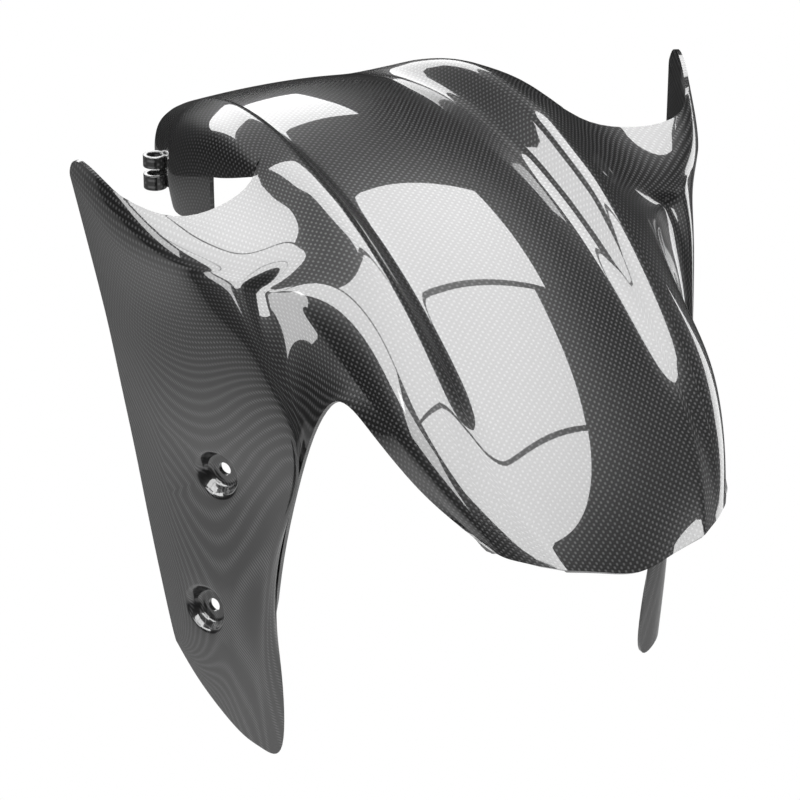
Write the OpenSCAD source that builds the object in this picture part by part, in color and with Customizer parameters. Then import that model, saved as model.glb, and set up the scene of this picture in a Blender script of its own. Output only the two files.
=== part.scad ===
/* [Arch] */
// Radius of the arch at the two channels beside the crown, about the wheel axis
arch_r = 290; // [284:1:296]
// Height of the crown's centre line above the channels
crown_h = 7; // [4:0.5:10]
// Height of the shoulder ridges above the channels, at the fork cut-outs
ridge_h = 16; // [10:0.5:19]
// Distance of each channel from the centre line
channel_x = 48; // [44:1:52]
// Angle of the tail edge behind the fork axis
tail_a = 27; // [25:0.5:30]

/* [Shell] */
// Thickness of the moulding
shell_t = 2; // [1.6:0.1:2.6]

/* [Fork covers] */
// Half of the width across the two horns
horn_x = 156; // [152:0.5:160]
// Height of the horn tips above the wheel axis
horn_z = 305; // [298:1:312]

/* [Bolts] */
// Diameter of the four bolt holes
bolt_d = 6.5; // [5:0.1:8]
// Radius of a bolt recess at the panel
recess_r = 11.5; // [10.5:0.1:12]
// Radius of the flat seat at the bottom of a recess
seat_r = 7.5; // [6.5:0.1:8]
// Depth of the seat below the panel, at the bolt's axis
recess_depth = 6; // [5:0.5:7]

/* [Hose guide] */
// Radius of the two eyes that hold the brake hose
eye_r = 3.5; // [3:0.1:4]
// Wall of the eyes
eye_wall = 2.2; // [1.8:0.1:2.5]

/* [Hidden] */

// Point at a radius above the channels and at an angle ahead of the fork axis
function arch(x, dr, a) = [x, -(arch_r + dr) * sin(a), (arch_r + dr) * cos(a)];
function mix(a, b, t) = a * (1 - t) + b * t;

// Smooth curve through the points of a guide, which it meets at both ends
function drawn(p) = [for (i = [0:len(p) - 1])
    i == 0 || i == len(p) - 1 ? p[i] : p[i] + (2 * p[i] - p[i - 1] - p[i + 1]) / 6];
function blend4(a, b, c, d, f) =
    (pow(1 - f, 3) * a + (3 * f * f * f - 6 * f * f + 4) * b
    + (3 * f + 3 * f * f - 3 * f * f * f + 1) * c + f * f * f * d) / 6;
function spline(p, t) =
    let (n = len(p), i = min(floor(t), n - 2))
    blend4(i == 0 ? 2 * p[0] - p[1] : p[i - 1], p[i], p[i + 1],
        i + 2 < n ? p[i + 2] : 2 * p[n - 1] - p[n - 2], t - i);

// Stations of the front block, from the nose edge to the fork cut-out and the rear edge of the leg.
// Each names the crown, channel, ridge, six points over the shoulder, the lip, six points down the
// side and the free edge.
function row(centre, channel, ridge, shoulder, lip, side, edge) =
    concat([centre, (centre + channel) / 2 + bulge(centre, channel), channel, ridge],
        shoulder, [lip], side, [edge]);
// The crown leaves the centre line level, so its middle stands above the chord
function radius(a) = norm([0, a.y, a.z]);
function bulge(a, b) = [0, b.y, b.z] / radius(b) * (radius(a) - radius(b)) / 4;
// Six points between two ends, raised off the chord along a direction
function arc(a, b, up, h) = [for (k = [1:6]) let (s = k / 7) mix(a, b, s) + up * (4 * h * s * (1 - s))];
function outward(a, lean) = [sin(lean), -sin(a) * cos(lean), cos(a) * cos(lean)];
level = [0, 0, 0];

FRONT = [
    row([0, -251, 159], [35, -247.7, 167.2], [45, -241.5, 169],
        [[48.7, -238.8, 169.8], [51.5, -236.6, 170.4], [53.5, -234.8, 170.8], [55.5, -233, 171.3],
        [57, -231, 171.8], [58.5, -229, 172.6]], [60, -227.3, 173.6],
        arc([60, -227.3, 173.6], [61.3, -225.6, 174.5], level, 0), [61.3, -225.6, 174.5]),
    let (r = arch(53, 1.5, 50.5), p = [70, -206.4, 186.5], e = [71.5, -203.5, 185.5])
    row(arch(0, crown_h, 51.5), arch(44, 4.5, 51), r, arc(r, p, outward(49, 50), 4), p,
        arc(p, e, level, 0), e),
    let (r = arch(57, 1, 45), p = [77, -192.5, 202], e = [78, -186, 195.5])
    row(arch(0, crown_h, 46), arch(46, 3, 45.5), r, arc(r, p, outward(44, 50), 4.5), p,
        arc(p, e, level, 0), e),
    let (r = arch(57, 4, 39), p = [81.5, -174.3, 217], e = [85.5, -165.5, 210.5])
    row(arch(0, crown_h, 40), arch(channel_x - 1, 1, 39.5), r, arc(r, p, outward(38, 55), 5.5), p,
        arc(p, e, level, 0), e),
    let (r = arch(58, ridge_h - 8, 32), p = [84.5, -149, 229.8], e = [92, -147, 220])
    row(arch(0, crown_h, 33.5), arch(channel_x, 0, 33), r, arc(r, p, outward(32, 55), 6), p,
        arc(p, e, outward(32, 60), 0.4), e),
    let (r = arch(59, ridge_h - 5.5, 27), p = [92, -121.5, 250.5])
    row(arch(0, crown_h, 28.5), arch(channel_x, 0, 28), r, arc(r, p, outward(26, 50), 4), p,
        [[94, -126, 240], [96, -130.5, 229], [98, -134, 217], [99.3, -135.5, 207], [100, -135.5, 199],
        [100.3, -135, 194]], [100.5, -134, 189]),
    row(arch(0, crown_h, 25), arch(channel_x, 0, 24.5), arch(60, ridge_h - 3.7, 23),
        [[66, -117, 276.5], [73, -116, 273], [80, -114.5, 269], [86.5, -113, 265], [91.5, -111.8, 262],
        [95.5, -110.8, 259.7]], [99, -110, 257.7],
        [[101, -118, 241], [101.5, -126, 220], [101.5, -132.5, 195], [101.2, -127, 174], [101.5, -117, 152],
        [102, -107.5, 128]], [101, -105.6, 111]),
    row(arch(0, crown_h, 23), arch(channel_x, 0, 22.5), arch(60, ridge_h - 3.2, 21.5),
        [[66.5, -110.5, 279.7], [74, -110, 275.5], [82, -109, 270.5], [89, -108, 265.8], [94.5, -107, 262.3],
        [99.5, -106, 259.6]], [103, -105.5, 258],
        [[105, -115, 242], [104, -124, 220.5], [102, -132, 194.5], [101.8, -126.5, 167], [103, -113, 131],
        [102.8, -109, 98]], [99.8, -108.3, 73]),
    row(arch(0, crown_h, 21), arch(channel_x, 0, 20.5), arch(60, ridge_h - 2.8, 20),
        [[67, -104, 282.5], [75.5, -104, 277.5], [85, -104, 271.5], [93, -103.5, 266.3], [99.5, -103, 262.8],
        [104.5, -102.5, 260.5]], [108.5, -102, 259.3],
        [[111, -112.5, 244], [107.5, -122, 221.5], [103, -131.5, 195], [102.5, -126.5, 164],
        [105.3, -113, 130], [107, -108, 78]], [97.5, -104, 26]),
    row(arch(0, crown_h, 19), arch(channel_x, 0, 18.5), arch(60, ridge_h - 2.4, 18.3),
        [[68, -97, 285], [78, -98.5, 278.5], [89, -100, 272], [99, -101, 267.5], [107, -102, 265],
        [112.5, -102.5, 264]], [116.5, -103, 264],
        [[116, -111.5, 247], [111, -121, 223], [104.5, -131, 196], [103.5, -126.5, 165], [108, -113, 131],
        [111.7, -106.5, 80]], [108.8, -103.5, 31.5]),
    row(arch(0, crown_h, 16.8), arch(channel_x, 0, 16.3), arch(60.5, ridge_h - 2, 16.3),
        [[69, -88, 288], [80, -91, 280.5], [93, -94.5, 274.5], [106, -97, 270], [116, -96.5, 268],
        [123, -94, 267]], [128, -90.5, 266.7],
        [[125, -97.7, 247], [120.3, -105.5, 222], [114.5, -112.5, 196], [111.5, -109.5, 165],
        [114.8, -100.8, 130], [117, -96.5, 80]], [114, -95.5, 35]),
    row(arch(0, crown_h, 14.4), arch(channel_x, 0, 14), arch(61, ridge_h - 1.4, 14),
        [[70, -77, 291.5], [82, -82.5, 283], [97, -87.5, 276.5], [113, -91, 273], [126, -89.5, 271.5],
        [134, -85, 270]], [138, -81, 268.5],
        [[134.7, -79.5, 247], [130.6, -85.6, 222], [126, -90.5, 196], [121.8, -88.7, 165],
        [122.4, -85.3, 130], [121.8, -85.8, 80]], [120, -84.5, 45]),
    row(arch(0, crown_h, 11.8), arch(channel_x, 0, 11.3), arch(61, ridge_h - 0.7, 10.7),
        [[72.5, -62.5, 296.5], [84, -71, 286.5], [101, -76.5, 280], [121, -80.5, 279], [137, -78.5, 279.5],
        [146, -68, 279]], [150, -59, 275.5],
        [[145, -57.5, 247], [140.3, -63.4, 222], [136.8, -67, 196], [132.8, -66.5, 165],
        [130.6, -66.9, 130], [127.8, -71.7, 80]], [126, -72.5, 58]),
    row(arch(0, crown_h, 9), arch(channel_x, 0, 8.5), arch(61, ridge_h, 7),
        [[77.5, -51, 297], [88, -60, 289.5], [108, -65.5, 284.5], [132, -70.5, 286.5], [150, -54, 295],
        [horn_x + 2.3, -32, horn_z + 0.8]], [horn_x + 3.3, -25.3, horn_z - 8],
        [[152, -35.5, 247], [148.5, -39.5, 222], [145, -42, 196], [141, -46, 165], [137, -50, 130],
        [132.5, -59, 85]], [131, -62, 73])
];

// Stations of the rear block, from the cut-out to the tail: the crown, channel and ridge as before,
// then the shoulder's outer edge, the wall's top, the notch line, a point below it and the lower edge
function rear_row(centre, channel, ridge, wall) =
    concat([centre, (centre + channel) / 2 + bulge(centre, channel), channel, ridge], wall);
REAR = [
    rear_row(arch(0, crown_h, 9), arch(channel_x, 0, 8.5), arch(61, ridge_h, 7),
        [[77.5, -51, 297], [81, -52, 294], [82.5, -52.5, 290.5], [83, -53, 280], [83, -53, 270]]),
    rear_row(arch(0, crown_h, 4.5), arch(channel_x, 0, 4), arch(61, ridge_h, 2.5),
        [[77, -20, 300], [82.5, -21, 292], [84, -22, 279.5], [84, -22, 268], [84, -22, 254]]),
    rear_row(arch(0, crown_h, -0.5), arch(channel_x, 0, -1), arch(60, ridge_h - 2, -2.5),
        [[76, 8, 296.5], [82, 8, 288], [84, 7, 273], [84, 7, 262], [83.5, 7, 250]]),
    rear_row(arch(0, crown_h - 1, -7), arch(channel_x - 1, 0, -7), arch(57, ridge_h - 7, -8),
        [[71, 37, 291], [78.5, 36, 283], [82, 35, 268], [82.5, 34, 256], [82, 31, 245.5]]),
    rear_row(arch(0, crown_h - 2.5, -10.5), arch(channel_x - 3, 0, -10.5), arch(54, ridge_h - 11, -11.5),
        [[64, 54, 286], [71, 52, 279], [75, 50, 266], [76, 48, 258], [76, 45, 251.5]]),
    rear_row(arch(0, crown_h - 4, -14), arch(channel_x - 5, 0, -14), arch(52, 1.5, -15),
        [[59.5, 72, 280], [65, 70, 273], [67.5, 68, 263], [68, 66, 253], [68, 63, 244]]),
    rear_row(arch(0, crown_h - 5.5, -20), arch(channel_x - 10, 0, -20), arch(46, -1.5, -20.5),
        [[56, 98, 266.5], [60.5, 95, 260], [62.5, 92, 254], [63, 90, 247], [63, 87, 239]]),
    rear_row(arch(0, crown_h - 6, -tail_a), arch(channel_x - 18, 0, -tail_a), arch(36, -2, 0.5 - tail_a),
        [[43, 123, 253.5], [46.5, 120, 249], [48.5, 118, 245], [49, 116, 241], [49, 113, 236]])
];

// A column of stations as a drawn guide
function guide(net, k) = drawn([for (r = net) r[k]]);
front_n = len(FRONT) - 1;
rear_n = len(REAR) - 1;
// The columns that both blocks share run from nose to tail in one curve
SHARED = 5;
ALL = [for (k = [0:SHARED - 1]) drawn(concat([for (r = FRONT) r[k]], [for (i = [1:rear_n]) REAR[i][k]]))];
FRONT_GUIDES = [for (k = [0:len(FRONT[0]) - 1]) k < SHARED ? ALL[k] : guide(FRONT, k)];
REAR_GUIDES = [for (k = [0:len(REAR[0]) - 1]) k < SHARED ? ALL[k] : guide(REAR, k)];

// Length that a rolled corner takes off each side, along the stations
CHANNEL_ROLL = [1, 3, 4, 4.5, 5, 5, 5, 5, 5, 5, 5, 5, 5, 5, 5, 5, 5, 5, 4, 3, 2];
LIP_ROLL = [1, 1.2, 1.5, 2, 2, 2.5, 2.5, 3, 4, 6, 9, 11, 10, 1.5];
function along(list, u) = let (i = min(floor(u), len(list) - 2)) mix(list[i], list[i + 1], u - i);

// Samples of a curve between two places, without the first
function run(p, t0, t1, n) = [for (k = [1:n]) spline(p, t0 + (t1 - t0) * k / n)];
// The same with closer samples towards the second place
function closing_run(p, t0, t1, n) = [for (k = [1:n]) spline(p, t1 + (t0 - t1) * pow(1 - k / n, 1.25))];
// Inner points of a rolled corner
function roll(a, corner, b, n) =
    [for (k = [1:n - 1]) let (t = k / n) a * pow(1 - t, 2) + corner * (2 * t * (1 - t)) + b * t * t];
function flipped(p) = [-p.x, p.y, p.z];

crown_cells = 4;
corner_cells = 2;
ridge_cells = 2;
shoulder_cells = 8;
lip_cells = 3;
wall_cells = 6;
// Column of the lip and column of the free edge in a station
LIP = 10;
EDGE = 17;
// Places of the columns down the side, closer together around the two bolts
SIDE_T = [0.4, 0.85, 1.4, 2, 2.65, 3.35, 3.65, 3.94, 4.2, 4.45, 4.9, 5.33, 5.5, 5.68, 5.86, 6.04, 6.5, 7];
// Places of the sections, in stations
FRONT_U = [0, 0.35, 0.7, 1, 1.5, 2, 2.5, 3, 3.5, 4, 4.5, 5, 5.5, 6, 6.6, 7.2, 7.8, 8.4, 9,
    9.65, 10.3, 10.75, 11.2, 11.7, 12.2, 12.6, 13];
REAR_U = [13, 13.35, 13.7, 14, 14.3, 14.65, 15, 15.5, 16, 16.5, 17, 17.5, 18, 18.5, 19, 19.5, 20];

// The part of a section that both blocks share: crown, channel, riser and ridge
function inner_section(q, d) =
    let (
        crown = drawn([flipped(q[2]), flipped(q[1]), q[0], q[1], q[2]]),
        t = 4 - 2 * d / norm(q[2] - q[0]),
        a = spline(crown, t),
        f = d / norm(q[3] - q[2])
    )
    concat([spline(crown, 2)], run(crown, 2, t, crown_cells),
        roll(a, q[2], mix(q[2], q[3], f), corner_cells), [mix(q[2], q[3], f), mix(q[2], q[3], 1 - f)]);
function channel_roll(u, q) = min(along(CHANNEL_ROLL, u), 0.42 * norm(q[3] - q[2]));
// From the ridge out to the point where the cut-out begins
function ridge_run(q, top, d) =
    let (t = min(0.8, d / norm(q[4] - q[3])), a = spline(top, t))
    concat(roll(mix(q[2], q[3], 1 - d / norm(q[3] - q[2])), q[3], a, corner_cells), [a],
        run(top, t, 1, ridge_cells));

function stations(u) = [for (g = FRONT_GUIDES) spline(g, u)];
function side_guide(q) = drawn([for (k = [LIP:EDGE]) q[k]]);
function front_section(u) =
    let (
        q = stations(u),
        d = channel_roll(u, q),
        e = along(LIP_ROLL, u),
        top = drawn([for (k = [3:LIP]) q[k]]),
        side = side_guide(q),
        t = LIP - 3 - min(0.8, e / norm(q[LIP] - q[LIP - 1])),
        s = min(0.3, e / norm(q[LIP + 1] - q[LIP]))
    )
    concat(inner_section(q, d), ridge_run(q, top, d), closing_run(top, 1, t, shoulder_cells),
        roll(spline(top, t), q[LIP], spline(side, s), lip_cells), [spline(side, s)],
        [for (k = SIDE_T) spline(side, k)]);

function rear_section(u) =
    let (
        q = [for (k = [0:len(REAR_GUIDES) - 1]) spline(REAR_GUIDES[k], k < SHARED ? u : u - front_n)],
        d = channel_roll(u, q),
        wall = drawn([for (k = [3:8]) q[k]])
    )
    concat(inner_section(q, d), ridge_run(q, wall, d), run(wall, 1, 3, wall_cells - 2), run(wall, 3, 5, 2));

// All sections from nose to tail. The rear block starts with a row of its own, which is the front
// edge of its wall and takes its first columns from the front block's last row.
ROWS = concat([for (u = FRONT_U) front_section(u)], [for (u = REAR_U) rear_section(u)]);
a_last = len(FRONT_U) - 1;
b_first = len(FRONT_U);
b_last = len(ROWS) - 1;
a_cols = len(ROWS[0]) - 1;
b_cols = len(ROWS[b_last]) - 1;
join_col = b_cols - wall_cells;
notch_row = b_first + 4;
notch_col = b_cols - 2;
side_col = a_cols - len(SIDE_T);
bolt_cells = 4;
// First row and column of the block of cells that each recess replaces, and the bolt's own place in
// stations and in columns of the side
BOLTS = [[20, side_col + 6, 10.95, 3.94], [20, side_col + 12, 11.33, 5.68]];

function in_bolt(i, j) = len([for (b = BOLTS)
    if (i >= b[0] && i < b[0] + bolt_cells && j >= b[1] && j < b[1] + bolt_cells) 1]) > 0;
// Whether the shell has a cell there
function cell(i, j) =
    j < 0 ? true
    : i < 0 || i == a_last || i >= b_last ? false
    : i < a_last ? j < a_cols && !in_bolt(i, j)
    : j < b_cols && !(i < notch_row && j >= notch_col);
function after(i, j) = i == a_last - 1 && j < join_col ? b_first : i + 1;
function before(i, j) = i == b_first && j < join_col ? a_last - 1 : i - 1;

// Rows are numbered in one list of points, and the joined columns of two rows are one
width = a_cols + 1;
function home(i, j) = i == b_first && j <= join_col ? a_last : i;
function id(i, j) = home(i, j) * width + j;
function at(i, j) = ROWS[home(i, j)][j];

// Outward direction of the skin at a grid point
function normal_at(i, j) =
    let (
        rear = i > a_last,
        last = rear ? b_cols : a_cols,
        i0 = i == b_first && j <= join_col ? a_last - 1 : i == 0 || i == b_first ? i : i - 1,
        i1 = i == a_last && j <= join_col ? b_first + 1 : i == a_last || i == b_last ? i : i + 1,
        along_rows = at(i1, j) - at(i0, j),
        to_side = j == 0 ? at(i, 1) - flipped(at(i, 1)) : at(i, min(j + 1, last)) - at(i, j - 1),
        n = cross(to_side, along_rows)
    )
    n / norm(n);

SKIN = [for (i = [0:b_last]) for (j = [0:a_cols]) j < len(ROWS[i]) ? at(i, j) : [0, 0, 0]];
LINING = [for (i = [0:b_last]) for (j = [0:a_cols])
    j < len(ROWS[i]) ? at(i, j) - shell_t * normal_at(i, j) : [0, 0, 0]];
skin_n = len(SKIN);

// Frames of the bolts: the seat's centre on the panel and three directions, the last outward
function panel(u, t) = spline(side_guide(stations(u)), t);
function bolt_frame(b) =
    let (
        e = panel(b[2] + 0.4, b[3]) - panel(b[2] - 0.4, b[3]),
        f = panel(b[2], b[3] + 0.2) - panel(b[2], b[3] - 0.2),
        n = cross(f, e) / norm(cross(f, e)),
        x = e / norm(e)
    )
    [panel(b[2], b[3]), x, cross(x, n), n];
FRAMES = [for (b = BOLTS) bolt_frame(b)];
// Rings of a recess as radius and depth, on the skin and on the lining
RINGS = [[recess_r, 0], [recess_r - 1.6, 1.2], [seat_r + 0.8, recess_depth - 0.7], [seat_r, recess_depth]];
LINING_RINGS = [[recess_r + shell_t, shell_t + 0.4], [recess_r + 0.2, shell_t + 1.8],
    [seat_r + shell_t + 0.4, recess_depth + shell_t - 1.3], [seat_r + 0.9, recess_depth + shell_t]];
ring_n = 4 * bolt_cells;
function ring(f, r) = [for (k = [0:ring_n - 1]) let (w = 225 + 360 * k / ring_n)
    f[0] + r[0] * (cos(w) * f[1] + sin(w) * f[2]) - r[1] * f[3]];
RECESS = [for (f = FRAMES) for (r = RINGS) each ring(f, r)];
RECESS_LINING = [for (f = FRAMES) for (r = LINING_RINGS) each ring(f, r)];
recess_n = len(RECESS);

HALF = concat(SKIN, LINING, RECESS, RECESS_LINING);
half_n = len(HALF);
POINTS = concat(HALF, [for (p = HALF) flipped(p)]);

function quad(a, b, c, d) = [[a, b, c], [a, c, d]];
// Grid points around a block of cells, in the order of the ring
function around(b) = concat(
    [for (k = [0:3]) id(b[0] + k, b[1])], [for (k = [0:3]) id(b[0] + 4, b[1] + k)],
    [for (k = [0:3]) id(b[0] + 4 - k, b[1] + 4)], [for (k = [0:3]) id(b[0], b[1] + 4 - k)]);
// Rings of one recess as point numbers: the grid's, then its own
function ring_ids(m, lining) =
    let (base = 2 * skin_n + (lining ? recess_n : 0) + m * len(RINGS) * ring_n)
    concat([around(BOLTS[m]) + [for (k = [1:ring_n]) lining ? skin_n : 0]],
        [for (r = [0:len(RINGS) - 1]) [for (k = [0:ring_n - 1]) base + r * ring_n + k]]);
function recess_faces(m, lining) =
    let (s = ring_ids(m, lining), last = len(s) - 1)
    concat([for (r = [0:last - 1]) for (k = [0:ring_n - 1]) let (l = (k + 1) % ring_n)
        each quad(s[r][k], s[r][l], s[r + 1][l], s[r + 1][k])],
        [[for (k = [0:ring_n - 1]) s[last][k]]]);
function turned(f) = [for (k = [len(f) - 1:-1:0]) f[k]];

// A cell of the grid, split along its shorter diagonal
function split(i, j) =
    norm(at(i + 1, j + 1) - at(i, j)) < norm(at(i, j + 1) - at(i + 1, j))
    ? quad(id(i, j), id(i + 1, j), id(i + 1, j + 1), id(i, j + 1))
    : quad(id(i + 1, j), id(i + 1, j + 1), id(i, j + 1), id(i, j));
GRID_FACES = [for (i = [0:b_last - 1]) for (j = [0:a_cols - 1]) if (cell(i, j)) each split(i, j)];
function rim(a, b) = quad(b + skin_n, a + skin_n, a, b);
RIM_FACES = [for (i = [0:b_last - 1]) for (j = [0:a_cols - 1]) if (cell(i, j)) each concat(
    cell(before(i, j), j) || in_bolt(before(i, j), j) ? [] : rim(id(i, j), id(i, j + 1)),
    cell(i, j + 1) || in_bolt(i, j + 1) ? [] : rim(id(i, j + 1), id(i + 1, j + 1)),
    cell(after(i, j), j) || in_bolt(after(i, j), j) ? [] : rim(id(i + 1, j + 1), id(i + 1, j)),
    cell(i, j - 1) || in_bolt(i, j - 1) ? [] : rim(id(i + 1, j), id(i, j)))];
SKIN_FACES = concat(GRID_FACES, [for (m = [0:1]) each recess_faces(m, false)]);
LINING_FACES = concat([for (f = GRID_FACES) turned(f) + [skin_n, skin_n, skin_n]],
    [for (m = [0:1]) for (f = recess_faces(m, true)) turned(f)]);
RIGHT = concat(SKIN_FACES, LINING_FACES, RIM_FACES);
// Points of the centre column are shared by the two halves
function is_centre(k) = k < 2 * skin_n && (k % skin_n) % width == 0;
LEFT = [for (f = RIGHT) turned([for (k = f) is_centre(k) ? k : k + half_n])];

// Axis of the hose eyes, their two heights and the thickness of their web
eye_at = [70.8, 74];
EYE_Z = [[241.5, 249], [252.5, 258.5]];
eye_web = 2.5;

// Middle of the box round the moulding, which is the part's origin
function is_cut(i, j) = i > a_last && i < notch_row && j > notch_col;
USED = [for (i = [0:b_last]) for (j = [0:len(ROWS[i]) - 1]) if (!is_cut(i, j))
    each [at(i, j), at(i, j) - shell_t * normal_at(i, j)]];
lowest = min([for (p = USED) p.z]);
highest = max([for (p = USED) p.z]);
foremost = min([for (p = USED) p.y]);
rearmost = max([for (p = USED) p.y]);
middle = [0, (foremost + rearmost) / 2, (lowest + highest) / 2];

module shell() {
    polyhedron(POINTS, concat(RIGHT, LEFT));
}

module bolt_hole(f) {
    seat = f[0] - (recess_depth + shell_t / 2) * f[3];
    translate(seat) rotate([0, acos(f[3].z), atan2(f[3].y, f[3].x)])
        cylinder(h = 4 * shell_t, d = bolt_d, center = true, $fn = 32);
}

// Two eyes, one above the other, on a web from the left side of the tail
module hose_guide() {
    web_x = 65.3;
    difference() {
        union() {
            for (z = EYE_Z)
                translate([-eye_at.x, eye_at.y, z[0]])
                    cylinder(h = z[1] - z[0], r = eye_r + eye_wall, $fn = 32);
            translate([-eye_at.x, eye_at.y, EYE_Z[0][0]])
                cube([eye_at.x - web_x, eye_web, EYE_Z[1][1] - EYE_Z[0][0]]);
        }
        translate([-eye_at.x, eye_at.y, EYE_Z[0][0] - 1])
            cylinder(h = EYE_Z[1][1] - EYE_Z[0][0] + 2, r = eye_r, $fn = 32);
    }
}

module fender() {
    color("dimgray") translate(-middle) difference() {
        union() {
            shell();
            hose_guide();
        }
        for (f = FRAMES) {
            bolt_hole(f);
            mirror([1, 0, 0]) bolt_hole(f);
        }
    }
}

fender();
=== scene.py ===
"""Looks of a motorcycle front fender in clear-coated woven carbon fibre."""

import logging
import math
from dataclasses import dataclass, field
from enum import Enum
from typing import Any

import bmesh
import bpy
import numpy as np
from mathutils import Matrix, Vector


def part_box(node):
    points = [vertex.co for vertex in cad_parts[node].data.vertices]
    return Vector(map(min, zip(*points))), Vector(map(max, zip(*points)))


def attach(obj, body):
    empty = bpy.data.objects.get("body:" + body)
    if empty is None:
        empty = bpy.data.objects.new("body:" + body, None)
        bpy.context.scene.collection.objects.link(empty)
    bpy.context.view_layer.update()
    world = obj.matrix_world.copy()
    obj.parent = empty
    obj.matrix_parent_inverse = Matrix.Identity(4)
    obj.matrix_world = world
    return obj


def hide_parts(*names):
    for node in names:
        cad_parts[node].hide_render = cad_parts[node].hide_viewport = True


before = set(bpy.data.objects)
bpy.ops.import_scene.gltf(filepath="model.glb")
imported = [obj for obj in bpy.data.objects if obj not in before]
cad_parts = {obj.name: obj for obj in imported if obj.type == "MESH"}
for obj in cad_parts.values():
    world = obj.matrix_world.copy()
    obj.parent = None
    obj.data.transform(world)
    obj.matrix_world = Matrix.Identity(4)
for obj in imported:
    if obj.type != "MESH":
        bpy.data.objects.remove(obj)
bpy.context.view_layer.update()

LOG = logging.getLogger("fender")
MM = 0.001


def point(*xyz: float) -> np.ndarray:
    """A point or direction as an array."""
    return np.array(xyz, float)


def mix(a: Any, b: Any, t: float) -> Any:
    """The value at share t of the way from a to b."""
    return a * (1 - t) + b * t


def flipped(p: np.ndarray) -> np.ndarray:
    """The mirror image of a point across the centre plane."""
    return p * (-1, 1, 1)


def unit(v: np.ndarray) -> np.ndarray:
    """A direction at length one."""
    return v / np.linalg.norm(v)


def drawn(p: np.ndarray) -> np.ndarray:
    """Control points of the smooth curve that passes through the points given.

    Args:
        p: Points, or rows of points, along the first axis.

    Returns:
        The same array with its inner entries pushed out, so that spline() meets the points.
    """
    q = np.array(p, float)
    q[1:-1] += (2 * q[1:-1] - q[:-2] - q[2:]) / 6 if len(p) > 2 else 0
    return q


def spline(p: np.ndarray, t: float) -> np.ndarray:
    """The point at place t on the curve of drawn control points.

    Args:
        p: Control points from drawn().
        t: Place along the curve, one unit for each point.

    Returns:
        The point, or the row of points, there.
    """
    n = len(p)
    i = min(int(t), n - 2)
    f = t - i
    before = p[i - 1] if i else 2 * p[0] - p[1]
    after = p[i + 2] if i + 2 < n else 2 * p[n - 1] - p[n - 2]
    return (
        (1 - f) ** 3 * before
        + (3 * f**3 - 6 * f**2 + 4) * p[i]
        + (3 * f + 3 * f**2 - 3 * f**3 + 1) * p[i + 1]
        + f**3 * after
    ) / 6


def spread(*stops: float, cells: tuple[int, ...]) -> list[float]:
    """Places from the first stop to the last, each span cut into its number of cells.

    Args:
        stops: Ends of the spans.
        cells: Number of cells in each span.

    Returns:
        All the places in order.
    """
    places = [stops[0]]
    for a, b, n in zip(stops[:-1], stops[1:], cells):
        places += [mix(a, b, k / n) for k in range(1, n + 1)]
    return places


class Row(Enum):
    """Columns of a station that have a name of their own."""

    CROWN = 0
    CHANNEL = 2
    RIDGE = 3
    LIP = 10


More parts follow.
